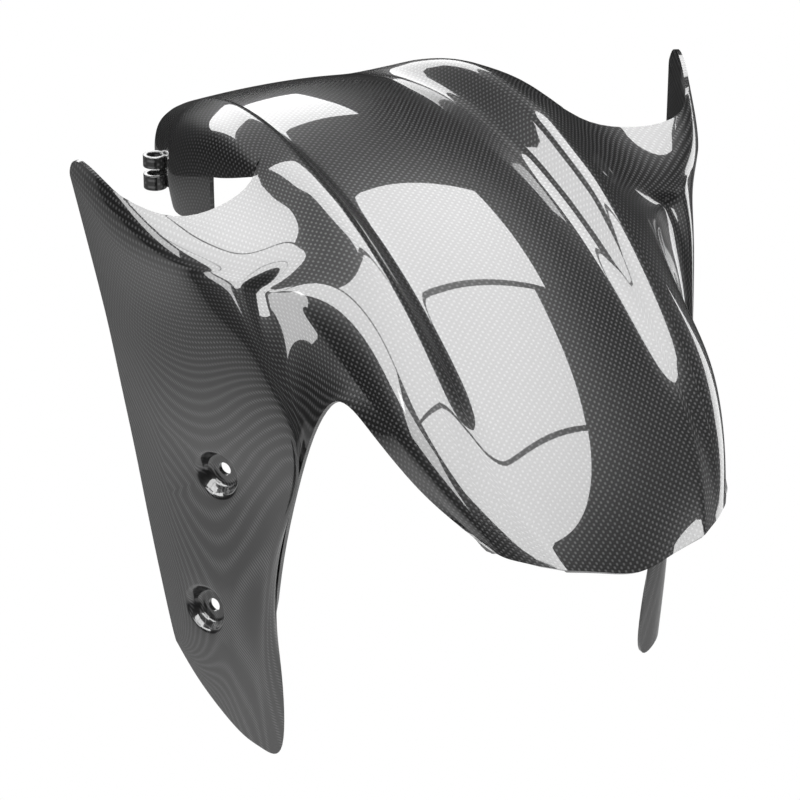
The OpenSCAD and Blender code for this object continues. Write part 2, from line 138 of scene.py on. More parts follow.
@dataclass(frozen=True)
class Lines:
    """The fender's lines, about the wheel axis: X to the right, Y to the rear, Z up, in millimetres."""

    arch_r: float = 290
    crown_h: float = 7
    ridge_h: float = 16
    channel_x: float = 48
    tail_a: float = 27
    horn_x: float = 156
    horn_z: float = 305
    channel_roll: tuple[float, ...] = (1, 3, 4, 4.5, 5, 5, 5, 5, 5, 5, 5, 5, 5, 5, 5, 5, 5, 5, 4, 3, 2)
    lip_roll: tuple[float, ...] = (1, 1.2, 1.5, 2, 2, 2.5, 2.5, 3, 4, 6, 9, 11, 10, 1.5)

    def arch(self, x: float, rise: float, angle: float) -> np.ndarray:
        """Point at a height above the channels and an angle ahead of the fork axis."""
        a, r = math.radians(angle), self.arch_r + rise
        return point(x, -r * math.sin(a), r * math.cos(a))

    @staticmethod
    def half_way(crown: np.ndarray, channel: np.ndarray) -> np.ndarray:
        """The point between crown and channel, lifted off their chord by a quarter of the rise.

        Args:
            crown: Point of the centre line.
            channel: Point of the channel.

        Returns:
            The point.
        """
        radial = channel * (0, 1, 1)
        rise = np.linalg.norm(crown) - np.linalg.norm(radial)
        return (crown + channel) / 2 + unit(radial) * rise / 4

    def inner(self, crown: tuple[float, float], channel: tuple[float, ...], ridge: tuple[float, ...]) -> list:
        """The four points that every station starts with: crown, its middle, channel and ridge.

        Args:
            crown: Rise and angle of the centre line.
            channel: Place across, rise and angle of the channel.
            ridge: Place across, rise and angle of the shoulder ridge.

        Returns:
            The four points.
        """
        a, b = self.arch(0, *crown), self.arch(*channel)
        return [a, self.half_way(a, b), b, self.arch(*ridge)]

    @staticmethod
    def arc(a: np.ndarray, b: np.ndarray, height: float = 0, tilt: tuple[float, float] = (0, 0)) -> list:
        """Six points between two ends, raised off the chord.

        Args:
            a: First end.
            b: Second end.
            height: Height of the middle above the chord.
            tilt: Angle ahead of the fork axis and lean to the side of the direction it is raised in.

        Returns:
            The six points.
        """
        ahead, lean = (math.radians(v) for v in tilt)
        up = point(math.sin(lean), -math.sin(ahead) * math.cos(lean), math.cos(ahead) * math.cos(lean))
        spans = 7
        shares = [k / spans for k in range(1, spans)]
        return [mix(a, b, s) + up * (4 * height * s * (1 - s)) for s in shares]

    def nose_row(self, inner: list, lip: tuple, edge: tuple, rise: float, tilt: tuple,
                 drop: tuple = (0, (0, 0))) -> list:
        """A station of the nose, where the shoulder falls straight to the lip.

        Args:
            inner: The first four points.
            lip: Where the shoulder ends.
            edge: The free edge below the lip.
            rise: Height of the shoulder above its chord.
            tilt: Direction of that height, as for arc().
            drop: Height and direction of the side above its chord.

        Returns:
            The eighteen points.
        """
        p, e = point(*lip), point(*edge)
        ridge = inner[Row.RIDGE.value]
        return [*inner, *self.arc(ridge, p, rise, tilt), p, *self.arc(p, e, *drop), e]

    def front(self) -> np.ndarray:
        """Stations from the nose edge to the fork cut-out and the rear edge of the fork cover."""
        c, g, h = self.crown_h, self.channel_x, self.ridge_h
        hx, hz = self.horn_x, self.horn_z
        tip = [point(0, -251, 159), point(35, -247.7, 167.2), point(45, -241.5, 169)]
        fork = self.inner((c, 28.5), (g, 0, 28), (59, h - 5.5, 27))
        rows = [
            [tip[0], self.half_way(tip[0], tip[1]), tip[1], tip[2],
             (48.7, -238.8, 169.8), (51.5, -236.6, 170.4), (53.5, -234.8, 170.8), (55.5, -233, 171.3),
             (57, -231, 171.8), (58.5, -229, 172.6), (60, -227.3, 173.6),
             *self.arc(point(60, -227.3, 173.6), point(61.3, -225.6, 174.5)), (61.3, -225.6, 174.5)],
            self.nose_row(self.inner((c, 51.5), (44, 4.5, 51), (53, 1.5, 50.5)),
                          (70, -206.4, 186.5), (71.5, -203.5, 185.5), 4, (49, 50)),
            self.nose_row(self.inner((c, 46), (46, 3, 45.5), (57, 1, 45)),
                          (77, -192.5, 202), (78, -186, 195.5), 4.5, (44, 50)),
            self.nose_row(self.inner((c, 40), (g - 1, 1, 39.5), (57, 4, 39)),
                          (81.5, -174.3, 217), (85.5, -165.5, 210.5), 5.5, (38, 55)),
            self.nose_row(self.inner((c, 33.5), (g, 0, 33), (58, h - 8, 32)),
                          (84.5, -149, 229.8), (92, -147, 220), 6, (32, 55), (0.4, (32, 60))),
            [*fork, *self.arc(fork[Row.RIDGE.value], point(92, -121.5, 250.5), 4, (26, 50)),
             (92, -121.5, 250.5), (94, -126, 240), (96, -130.5, 229), (98, -134, 217),
             (99.3, -135.5, 207), (100, -135.5, 199), (100.3, -135, 194), (100.5, -134, 189)],
            [*self.inner((c, 25), (g, 0, 24.5), (60, h - 3.7, 23)),
             (66, -117, 276.5), (73, -116, 273), (80, -114.5, 269), (86.5, -113, 265), (91.5, -111.8, 262),
             (95.5, -110.8, 259.7), (99, -110, 257.7), (101, -118, 241), (101.5, -126, 220),
             (101.5, -132.5, 195), (101.2, -127, 174), (101.5, -117, 152), (102, -107.5, 128),
             (101, -105.6, 111)],
            [*self.inner((c, 23), (g, 0, 22.5), (60, h - 3.2, 21.5)),
             (66.5, -110.5, 279.7), (74, -110, 275.5), (82, -109, 270.5), (89, -108, 265.8),
             (94.5, -107, 262.3), (99.5, -106, 259.6), (103, -105.5, 258), (105, -115, 242),
             (104, -124, 220.5), (102, -132, 194.5), (101.8, -126.5, 167), (103, -113, 131),
             (102.8, -109, 98), (99.8, -108.3, 73)],
            [*self.inner((c, 21), (g, 0, 20.5), (60, h - 2.8, 20)),
             (67, -104, 282.5), (75.5, -104, 277.5), (85, -104, 271.5), (93, -103.5, 266.3),
             (99.5, -103, 262.8), (104.5, -102.5, 260.5), (108.5, -102, 259.3), (111, -112.5, 244),
             (107.5, -122, 221.5), (103, -131.5, 195), (102.5, -126.5, 164), (105.3, -113, 130),
             (107, -108, 78), (97.5, -104, 26)],
            [*self.inner((c, 19), (g, 0, 18.5), (60, h - 2.4, 18.3)),
             (68, -97, 285), (78, -98.5, 278.5), (89, -100, 272), (99, -101, 267.5), (107, -102, 265),
             (112.5, -102.5, 264), (116.5, -103, 264), (116, -111.5, 247), (111, -121, 223),
             (104.5, -131, 196), (103.5, -126.5, 165), (108, -113, 131), (111.7, -106.5, 80),
             (108.8, -103.5, 31.5)],
            [*self.inner((c, 16.8), (g, 0, 16.3), (60.5, h - 2, 16.3)),
             (69, -88, 288), (80, -91, 280.5), (93, -94.5, 274.5), (106, -97, 270), (116, -96.5, 268),
             (123, -94, 267), (128, -90.5, 266.7), (125, -97.7, 247), (120.3, -105.5, 222),
             (114.5, -112.5, 196), (111.5, -109.5, 165), (114.8, -100.8, 130), (117, -96.5, 80),
             (114, -95.5, 35)],
            [*self.inner((c, 14.4), (g, 0, 14), (61, h - 1.4, 14)),
             (70, -77, 291.5), (82, -82.5, 283), (97, -87.5, 276.5), (113, -91, 273), (126, -89.5, 271.5),
             (134, -85, 270), (138, -81, 268.5), (134.7, -79.5, 247), (130.6, -85.6, 222),
             (126, -90.5, 196), (121.8, -88.7, 165), (122.4, -85.3, 130), (121.8, -85.8, 80),
             (120, -84.5, 45)],
            [*self.inner((c, 11.8), (g, 0, 11.3), (61, h - 0.7, 10.7)),
             (72.5, -62.5, 296.5), (84, -71, 286.5), (101, -76.5, 280), (121, -80.5, 279),
             (137, -78.5, 279.5), (146, -68, 279), (150, -59, 275.5), (145, -57.5, 247),
             (140.3, -63.4, 222), (136.8, -67, 196), (132.8, -66.5, 165), (130.6, -66.9, 130),
             (127.8, -71.7, 80), (126, -72.5, 58)],
            [*self.inner((c, 9), (g, 0, 8.5), (61, h, 7)),
             (77.5, -51, 297), (88, -60, 289.5), (108, -65.5, 284.5), (132, -70.5, 286.5), (150, -54, 295),
             (hx + 2.3, -32, hz + 0.8), (hx + 3.3, -25.3, hz - 8), (152, -35.5, 247), (148.5, -39.5, 222),
             (145, -42, 196), (141, -46, 165), (137, -50, 130), (132.5, -59, 85), (131, -62, 73)],
        ]
        return np.array(rows, float)

    def rear(self) -> np.ndarray:
        """Stations from the cut-out to the tail; each ends with five points down the side wall."""
        c, g, h, a = self.crown_h, self.channel_x, self.ridge_h, self.tail_a
        rows = [
            [*self.inner((c, 9), (g, 0, 8.5), (61, h, 7)),
             (77.5, -51, 297), (81, -52, 294), (82.5, -52.5, 290.5), (83, -53, 280), (83, -53, 270)],
            [*self.inner((c, 4.5), (g, 0, 4), (61, h, 2.5)),
             (77, -20, 300), (82.5, -21, 292), (84, -22, 279.5), (84, -22, 268), (84, -22, 254)],
            [*self.inner((c, -0.5), (g, 0, -1), (60, h - 2, -2.5)),
             (76, 8, 296.5), (82, 8, 288), (84, 7, 273), (84, 7, 262), (83.5, 7, 250)],
            [*self.inner((c - 1, -7), (g - 1, 0, -7), (57, h - 7, -8)),
             (71, 37, 291), (78.5, 36, 283), (82, 35, 268), (82.5, 34, 256), (82, 31, 245.5)],
            [*self.inner((c - 2.5, -10.5), (g - 3, 0, -10.5), (54, h - 11, -11.5)),
             (64, 54, 286), (71, 52, 279), (75, 50, 266), (76, 48, 258), (76, 45, 251.5)],
            [*self.inner((c - 4, -14), (g - 5, 0, -14), (52, 1.5, -15)),
             (59.5, 72, 280), (65, 70, 273), (67.5, 68, 263), (68, 66, 253), (68, 63, 244)],
            [*self.inner((c - 5.5, -20), (g - 10, 0, -20), (46, -1.5, -20.5)),
             (56, 98, 266.5), (60.5, 95, 260), (62.5, 92, 254), (63, 90, 247), (63, 87, 239)],
            [*self.inner((c - 6, -a), (g - 18, 0, -a), (36, -2, 0.5 - a)),
             (43, 123, 253.5), (46.5, 120, 249), (48.5, 118, 245), (49, 116, 241), (49, 113, 236)],
        ]
        return np.array(rows, float)


@dataclass
class Cells:
    """How many cells each stretch of a section is cut into."""

    crown: int = 14
    corner: int = 5
    riser: int = 3
    ridge: int = 5
    shoulder: int = 26
    lip: int = 8
    wall: int = 22


@dataclass
class Skin:
    """The moulding's outer surface, laid through the stations as curves in both directions.

    The limits hold a rolled corner to a share of the stretch beside it.
    """

    lines: Lines = field(default_factory=Lines)
    cells: Cells = field(default_factory=Cells)
    shared: int = 5
    channel_limit: float = 0.42
    corner_limit: float = 0.8
    side_limit: float = 0.3
    shoulder_easing: float = 1.25
    seam_reach: int = 8
    side_t: list[float] = field(
        default_factory=lambda: spread(0.4, 3.35, 4.45, 5.33, 6.04, 7, cells=(22, 16, 8, 16, 10))
    )
    front_u: list[float] = field(
        default_factory=lambda: spread(0, 1, 10.3, 12.2, 13, cells=(9, 72, 16, 10))
    )
    rear_u: list[float] = field(
        default_factory=lambda: spread(13, 14.3, 20, cells=(14, 46))
    )

    def __post_init__(self) -> None:
        """Draws the guides that run along the fender."""
        front, rear = self.lines.front(), self.lines.rear()
        self.last_front = len(front) - 1
        whole = drawn(np.concatenate([front[:, : self.shared], rear[1:, : self.shared]]))
        self.front_guides = drawn(front)
        self.rear_guides = drawn(rear)
        self.whole_guides = whole
        self.channel_roll = drawn(np.array(self.lines.channel_roll))
        self.lip_roll = drawn(np.array(self.lines.lip_roll))

    def stations(self, u: float, rear: bool) -> np.ndarray:
        """The points of a section at place u, before its corners are rolled.

        Args:
            u: Place along the fender, in stations from the nose.
            rear: Whether the section ends in the side wall instead of the fork cover.

        Returns:
            The points of the section.
        """
        own = spline(self.rear_guides, u - self.last_front) if rear else spline(self.front_guides, u)
        q = own.copy()
        q[: self.shared] = spline(self.whole_guides, u)
        return q

    @staticmethod
    def roll(a: np.ndarray, corner: np.ndarray, b: np.ndarray, n: int) -> list[np.ndarray]:
        """Inner points of a rolled corner between two tangent points."""
        shares = [k / n for k in range(1, n)]
        return [a * (1 - t) ** 2 + corner * (2 * t * (1 - t)) + b * t * t for t in shares]

    def inner_section(self, q: np.ndarray, d: float) -> list[np.ndarray]:
        """The stretch that all sections share: crown, channel and riser.

        Args:
            q: Points of the section.
            d: Length that the rolled corners take off each side.

        Returns:
            Points from the centre line to the foot of the ridge's corner.
        """
        n = self.cells
        centre, channel, ridge = (q[row.value] for row in (Row.CROWN, Row.CHANNEL, Row.RIDGE))
        crown = drawn(np.array([flipped(channel), flipped(q[1]), centre, q[1], channel]))
        middle, end = 2, len(crown) - 1
        last = end - middle * d / np.linalg.norm(channel - centre)
        f = d / np.linalg.norm(ridge - channel)
        flat = [spline(crown, mix(middle, last, k / n.crown)) for k in range(n.crown + 1)]
        foot, head = mix(channel, ridge, f), mix(channel, ridge, 1 - f)
        corner = self.roll(flat[-1], channel, foot, n.corner)
        return flat + corner + [mix(foot, head, k / n.riser) for k in range(n.riser + 1)]

    def section(self, u: float, rear: bool) -> list[np.ndarray]:
        """A whole section of the skin, from the centre line to its free edge.

        Args:
            u: Place along the fender, in stations from the nose.
            rear: Whether the section ends in the side wall instead of the fork cover.

        Returns:
            The section's points, the same number for every u.
        """
        n, q = self.cells, self.stations(u, rear)
        ridge, lip = Row.RIDGE.value, Row.LIP.value
        riser = np.linalg.norm(q[ridge] - q[Row.CHANNEL.value])
        d = min(float(spline(self.channel_roll, u)), self.channel_limit * riser)
        outer = drawn(q[ridge:] if rear else q[ridge : lip + 1])
        share = min(self.corner_limit, d / np.linalg.norm(q[ridge + 1] - q[ridge]))
        start = spline(outer, share)
        points = self.inner_section(q, d)
        points += self.roll(points[-1], q[ridge], start, n.corner) + [start]
        points += [spline(outer, mix(share, 1, k / n.ridge)) for k in range(1, n.ridge + 1)]
        if rear:
            return points + [spline(outer, mix(1, len(outer) - 1, k / n.wall)) for k in range(1, n.wall + 1)]
        e = float(spline(self.lip_roll, u))
        side = self.side(q)
        t = lip - ridge - min(self.corner_limit, e / np.linalg.norm(q[lip] - q[lip - 1]))
        s = min(self.side_limit, e / np.linalg.norm(q[lip + 1] - q[lip]))
        eased = [(1 - k / n.shoulder) ** self.shoulder_easing for k in range(1, n.shoulder + 1)]
        points += [spline(outer, mix(t, 1, v)) for v in eased]
        points += self.roll(points[-1], q[lip], spline(side, s), n.lip) + [spline(side, s)]
        return points + [spline(side, v) for v in self.side_t]

    @staticmethod
    def side(q: np.ndarray) -> np.ndarray:
        """The curve of a section from the lip down the fork cover."""
        return drawn(q[Row.LIP.value :])

    def on_cover(self, u: float, t: float) -> np.ndarray:
        """The point of a fork cover at place u along the fender and t down its side."""
        return spline(self.side(self.stations(u, False)), t)

    def front_net(self) -> np.ndarray:
        """All sections of the front block as rows of points."""
        return np.array([self.section(u, False) for u in self.front_u])

    def rear_net(self, seam: np.ndarray) -> np.ndarray:
        """All sections of the rear block, eased into the last section of the front block.

        Args:
            seam: The last row of the front block.

        Returns:
            Rows of points; the first row's inner columns are the seam's.
        """
        net = np.array([self.section(u, True) for u in self.rear_u])
        joined = net.shape[1] - self.cells.wall
        gap = np.zeros_like(net[0])
        gap[:joined] = seam[:joined] - net[0, :joined]
        for k in range(self.seam_reach):
            gap[joined + k] = gap[joined - 1] * (1 - (k + 1) / (self.seam_reach + 1)) ** 2
        fade = np.clip(1 - (np.array(self.rear_u) - self.rear_u[0]), 0, 1)
        fade = fade**2 * (3 - 2 * fade)
        return net + fade[:, None, None] * gap[None]


@dataclass(frozen=True)
class Bolt:
    """Place of a bolt on the fork cover, and the block of cells that its recess takes up."""

    u: float
    t: float
    u_span: tuple[float, float]
    t_span: tuple[float, float]


@dataclass
class Shell:
    """The moulding: one skin of even thickness with pressed recesses for four bolts.

    A recess is given as rings of radius and depth; its last radius is the bolt hole's.
    """

    skin: Skin = field(default_factory=Skin)
    thickness: float = 2.0
    recess: tuple[tuple[float, float], ...] = (
        (12.6, 0), (12.1, 0.05), (11.6, 0.25), (11.1, 0.65), (10.6, 1.2), (9.4, 3.3),
        (8.9, 4.4), (8.4, 5.2), (7.8, 5.75), (7.1, 6.0), (6.2, 6.0), (3.25, 6.0),
    )
    bolts: tuple[Bolt, ...] = (
        Bolt(10.95, 3.94, (10.3, 12.2), (3.35, 4.45)),
        Bolt(11.33, 5.68, (10.3, 12.2), (5.33, 6.04)),
    )
    notch_u: float = 14.3
    notch_share: float = 0.5
    edge_round: float = 0.35
    edge_angle: float = 50
    weld: float = 0.01
    mirror_weld: float = 0.05
    slope_step: float = 0.02
    name: str = "fender_shell"
    slot: str = "carbon_weave"
    weave: bmesh.types.BMLayerItem = field(init=False)
    middle: np.ndarray = field(init=False)
    scale: np.ndarray = field(init=False)
    shift: np.ndarray = field(init=False)

    def build(self) -> bpy.types.Object:
        """Builds the moulding.

        Returns:
            The finished object.
        """
        bm = bmesh.new()
        self.weave = bm.verts.layers.float_vector.new("weave")
        front = self.skin.front_net()
        rear = self.skin.rear_net(front[-1])
        joined = rear.shape[1] - self.skin.cells.wall
        front_cloth = self.cloth(front, np.zeros(front.shape[1]))
        start = np.full(rear.shape[1], front_cloth[-1, joined - 1, 1])
        start[:joined] = front_cloth[-1, :joined, 1]
        rear_cloth = self.cloth(rear, start)
        low, high = self.bounds(front, rear)
        self.middle = (low + high) / 2 * (0, 1, 1)
        front_grid = self.lay(bm, front, front_cloth)
        rear_grid = self.lay(bm, rear, rear_cloth)
        self.cut_notch(bm, rear_grid)
        for bolt in self.bolts:
            self.press_recess(bm, bolt, front_grid, front_cloth)
        bmesh.ops.remove_doubles(bm, verts=bm.verts, dist=self.weld * MM)
        bmesh.ops.recalc_face_normals(bm, faces=bm.faces)
        top = max(bm.faces, key=lambda f: f.calc_center_median().z)
        if top.normal.z < 0:
            bmesh.ops.reverse_faces(bm, faces=bm.faces)
        self.fit(bm)
        return self.finish(bm)

    @staticmethod
    def cloth(net: np.ndarray, start: np.ndarray) -> np.ndarray:
        """Lengths across and along the cloth at every point of a net, in millimetres.

        Args:
            net: Rows of points.
            start: Length along the cloth at each point of the first row.

        Returns:
            For every point, the length from the centre line and the length from the nose.
        """
        across = np.linalg.norm(np.diff(net, axis=1), axis=2)
        along = np.linalg.norm(np.diff(net, axis=0), axis=2)
        out = np.zeros(net.shape)
        out[:, 1:, 0] = np.cumsum(across, axis=1)
        out[0, :, 1] = start
        out[1:, :, 1] = start + np.cumsum(along, axis=0)
        return out

    def bounds(self, *nets: np.ndarray) -> tuple[np.ndarray, np.ndarray]:
        """Lowest and highest corner of the nets' points."""
        points = np.concatenate([net.reshape(-1, 3) for net in nets])
        return points.min(axis=0), points.max(axis=0)

    def lay(self, bm: bmesh.types.BMesh, net: np.ndarray,
            cloth: np.ndarray) -> list[list[bmesh.types.BMVert]]:
        """Lays a grid of cells onto a net.

        Args:
            bm: Mesh to add to.
            net: Rows of points.
            cloth: The net's lengths on the cloth.

        Returns:
            The grid's vertices as rows.
        """
        rows, cols = net.shape[:2]
        made = bmesh.ops.create_grid(bm, x_segments=cols - 1, y_segments=rows - 1, size=1)["verts"]
        order = sorted(made, key=lambda v: (round(v.co.y, 6), v.co.x))
        grid = [order[i * cols : (i + 1) * cols] for i in range(rows)]
        for verts, points, lengths in zip(grid, net, cloth):
            for vert, p, c in zip(verts, points, lengths):
                vert.co = (p - self.middle) * MM
                vert[self.weave] = c
        return grid

    def cut_notch(self, bm: bmesh.types.BMesh, grid: list[list[bmesh.types.BMVert]]) -> None:
        """Takes out the front lower corner of the side wall, which clears the fork tube.

        Args:
            bm: Mesh of the moulding.
            grid: Vertices of the rear block.
        """
        row = self.skin.rear_u.index(self.notch_u)
        col = len(grid[0]) - 1 - round(self.skin.cells.wall * self.notch_share)
        corner = {v for verts in grid[: row + 1] for v in verts[col:]}
        bmesh.ops.delete(bm, geom=self.faces_within(corner), context="FACES")

    @staticmethod
    def faces_within(verts: set[bmesh.types.BMVert]) -> list[bmesh.types.BMFace]:
        """The faces whose corners all lie in a set of vertices."""
        near = {f for v in verts for f in v.link_faces}
        return [f for f in near if set(f.verts) <= verts]

    def press_recess(self, bm: bmesh.types.BMesh, bolt: Bolt, grid: list, cloth: np.ndarray) -> None:
        """Replaces a block of cells with a round recess that ends in the bolt hole.

        Args:
            bm: Mesh of the moulding.
            bolt: The bolt's place and block.
            grid: Vertices of the front block.
            cloth: Lengths on the cloth for the grid.
        """
        skin = self.skin
        first = len(grid[0]) - len(skin.side_t)
        rows = [skin.front_u.index(v) for v in bolt.u_span]
        cols = [first + skin.side_t.index(v) for v in bolt.t_span]
        block = {v for verts in grid[rows[0] : rows[1] + 1] for v in verts[cols[0] : cols[1] + 1]}
        border = {grid[i][j] for i in rows for j in range(cols[0], cols[1] + 1)}
        border |= {grid[i][j] for j in cols for i in range(rows[0], rows[1] + 1)}
        bmesh.ops.delete(bm, geom=self.faces_within(block), context="FACES")
        near = {e for v in border for e in v.link_edges}
        edges = [e for e in near if e.is_boundary and set(e.verts) <= border]
        place = self.frame_of(bolt)
        for radius, depth in self.recess:
            made = bmesh.ops.extrude_edge_only(bm, edges=edges)["geom"]
            verts = {g for g in made if isinstance(g, bmesh.types.BMVert)}
            edges = [g for g in made if isinstance(g, bmesh.types.BMEdge) and set(g.verts) <= verts]
            for vert in verts:
                self.settle(vert, bolt, place, radius, depth, cloth)

    def frame_of(self, bolt: Bolt) -> tuple[np.ndarray, ...]:
        """The bolt's centre on the panel, its slopes in u and t, and its three directions.

        Args:
            bolt: The bolt's place.

        Returns:
            Centre, slope by u, slope by t, two directions in the panel and the one out of it.
        """
        at, h = self.skin.on_cover, self.slope_step
        by_u = (at(bolt.u + h, bolt.t) - at(bolt.u - h, bolt.t)) / (2 * h)
        by_t = (at(bolt.u, bolt.t + h) - at(bolt.u, bolt.t - h)) / (2 * h)
        n = unit(np.cross(by_t, by_u))
        x = unit(by_u)
        return at(bolt.u, bolt.t), by_u, by_t, x, np.cross(x, n), n

    def settle(self, vert: bmesh.types.BMVert, bolt: Bolt, place: tuple, radius: float, depth: float,
               cloth: np.ndarray) -> None:
        """Moves a new vertex of the recess to its radius and depth, keeping its angle about the bolt.

        Args:
            vert: The vertex.
            bolt: The bolt's place.
            place: The bolt's frame from frame_of().
            radius: Radius about the bolt's axis.
            depth: Depth below the panel.
            cloth: Lengths on the cloth for the front block.
        """
        centre, by_u, by_t, x, y, n = place
        arm = np.array(vert.co) / MM + self.middle - centre
        direction = unit(point(arm @ x, arm @ y, 0))[:2] * radius
        slopes = np.array([[by_u @ x, by_t @ x], [by_u @ y, by_t @ y]])
        du, dt = np.linalg.solve(slopes, direction)
        panel = self.skin.on_cover(bolt.u + du, bolt.t + dt)
        share = min(1.0, depth / self.recess[-1][1])
        flat = centre + direction[0] * x + direction[1] * y
        vert.co = (mix(panel, flat, share) - depth * n - self.middle) * MM
        vert[self.weave] = self.cloth_at(cloth, bolt.u + du, bolt.t + dt)

    def cloth_at(self, cloth: np.ndarray, u: float, t: float) -> np.ndarray:
        """Lengths on the cloth at a place of the fork cover, between the grid's points.

        Args:
            cloth: Lengths on the cloth for the front block.
            u: Place along the fender.
            t: Place down the side.

        Returns:
            The lengths across and along.
        """
        skin = self.skin
        first = cloth.shape[1] - len(skin.side_t)
        i = float(np.interp(u, skin.front_u, range(len(skin.front_u))))
        j = first + float(np.interp(t, skin.side_t, range(len(skin.side_t))))
        i0, j0 = min(int(i), cloth.shape[0] - 2), min(int(j), cloth.shape[1] - 2)
        near = mix(cloth[i0, j0], cloth[i0, j0 + 1], j - j0)
        return mix(near, mix(cloth[i0 + 1, j0], cloth[i0 + 1, j0 + 1], j - j0), i - i0)

    def fit(self, bm: bmesh.types.BMesh) -> None:
        """Brings the half skin to the height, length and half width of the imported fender.

        Args:
            bm: Mesh of the half skin.
        """
        low, high = (np.array(v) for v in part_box("fender"))
        own = np.array([v.co for v in bm.verts])
        own_low, own_high = own.min(axis=0), own.max(axis=0)
        own_low[0] = -own_high[0]
        scale = np.minimum(1, (high - low) / (own_high - own_low))
        shift = (low + high) / 2 - (own_low + own_high) / 2 * scale
        shift[0] = 0
        for vert in bm.verts:
            vert.co = np.array(vert.co) * scale + shift
        self.scale, self.shift = scale, shift

    def finish(self, bm: bmesh.types.BMesh) -> bpy.types.Object:
        """Turns the half skin into the whole moulding.

        Args:
            bm: Mesh of the half skin, which is freed.

        Returns:
            The object with its mirror, thickness and rounded edges.
        """
        for face in bm.faces:
            face.smooth = True
        obj = add_object(bm, self.name)
        mirror = obj.modifiers.new("other_half", "MIRROR")
        mirror.use_clip = True
        mirror.merge_threshold = self.mirror_weld * MM
        wall = obj.modifiers.new("thickness", "SOLIDIFY")
        wall.thickness = self.thickness * MM
        wall.offset = -1
        wall.use_quality_normals = True
        edge = obj.modifiers.new("edge_round", "BEVEL")
        edge.width = self.edge_round * MM
        edge.segments = 2
        edge.limit_method = "ANGLE"
        edge.angle_limit = math.radians(self.edge_angle)
        edge.harden_normals = True
        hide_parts("fender")
        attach(obj, "root")
        return obj


def add_object(bm: bmesh.types.BMesh, name: str) -> bpy.types.Object:
    """Makes an object of a mesh, at the origin, and frees the mesh.

    Args:
        bm: The mesh.
        name: Name of the object and of its mesh.

    Returns:
        The object, linked to the scene.
    """
    mesh = bpy.data.meshes.new(name)
    bm.to_mesh(mesh)
    bm.free()
    obj = bpy.data.objects.new(name, mesh)
    bpy.context.scene.collection.objects.link(obj)
    return obj


@dataclass
class HoseGuide:
    """Two eyes for the brake hose, one above the other, on a web from the left wall of the tail."""

    x: float = -70.8
    y: float = 74.0
    heights: tuple[tuple[float, float], ...] = ((241.5, 249.0), (252.5, 258.5))
    bore_r: float = 3.5
    outer_r: float = 5.7
    web_x: tuple[float, float] = (-67.7, -65.3)
    web_y: tuple[float, float] = (73.8, 76.4)
    web_inset: float = 0.3
    steps: int = 48
    round_r: float = 0.5
    edge_angle: float = 50
    name: str = "hose_guide"
    slot: str = "carbon_weave"

    def build(self, shell: Shell) -> bpy.types.Object:
        """Builds the guide in the shell's place.

        Args:
            shell: The moulding, for the middle that places are taken from.

        Returns:
            The finished object.
        """
        bm = bmesh.new()
        weave = bm.verts.layers.float_vector.new("weave")
        for low, high in self.heights:
            self.add_eye(bm, low, high)
        self.add_web(bm)
        bmesh.ops.translate(bm, verts=bm.verts, vec=-shell.middle)
        bmesh.ops.scale(bm, verts=bm.verts, vec=(MM, MM, MM))
        for vert in bm.verts:
            vert.co = np.array(vert.co) * shell.scale + shell.shift
            vert[weave] = Vector((vert.co.y + vert.co.x, vert.co.z, 0)) / MM
        for face in bm.faces:
            face.smooth = True
        obj = add_object(bm, self.name)
        edge = obj.modifiers.new("edge_round", "BEVEL")
        edge.width = self.round_r * MM
        edge.segments = 2
        edge.angle_limit = math.radians(self.edge_angle)
        edge.harden_normals = True
        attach(obj, "root")
        return obj

    def add_eye(self, bm: bmesh.types.BMesh, low: float, high: float) -> None:
        """Adds one eye as a ring spun about the hose.

        Args:
            bm: Mesh to add to.
            low: Height of its lower face.
            high: Height of its upper face.
        """
        corners = ((self.bore_r, low), (self.outer_r, low), (self.outer_r, high), (self.bore_r, high))
        verts = [bm.verts.new((self.x + r, self.y, z)) for r, z in corners]
        edges = [bm.edges.new((a, b)) for a, b in zip(verts, verts[1:] + verts[:1])]
        bmesh.ops.spin(bm, geom=verts + edges, cent=(self.x, self.y, 0), axis=(0, 0, 1),
                       angle=2 * math.pi, steps=self.steps, use_merge=True)
        bmesh.ops.recalc_face_normals(bm, faces=bm.faces)

    def add_web(self, bm: bmesh.types.BMesh) -> None:
        """Adds the web that joins the eyes to the wall."""
        made = bmesh.ops.create_cube(bm, size=1)["verts"]
        bottom, top = self.heights[0][0] + self.web_inset, self.heights[1][1] - self.web_inset
        spans = (self.web_x, self.web_y, (bottom, top))
        bmesh.ops.scale(bm, verts=made, vec=[b - a for a, b in spans])
        bmesh.ops.translate(bm, verts=made, vec=[(a + b) / 2 for a, b in spans])


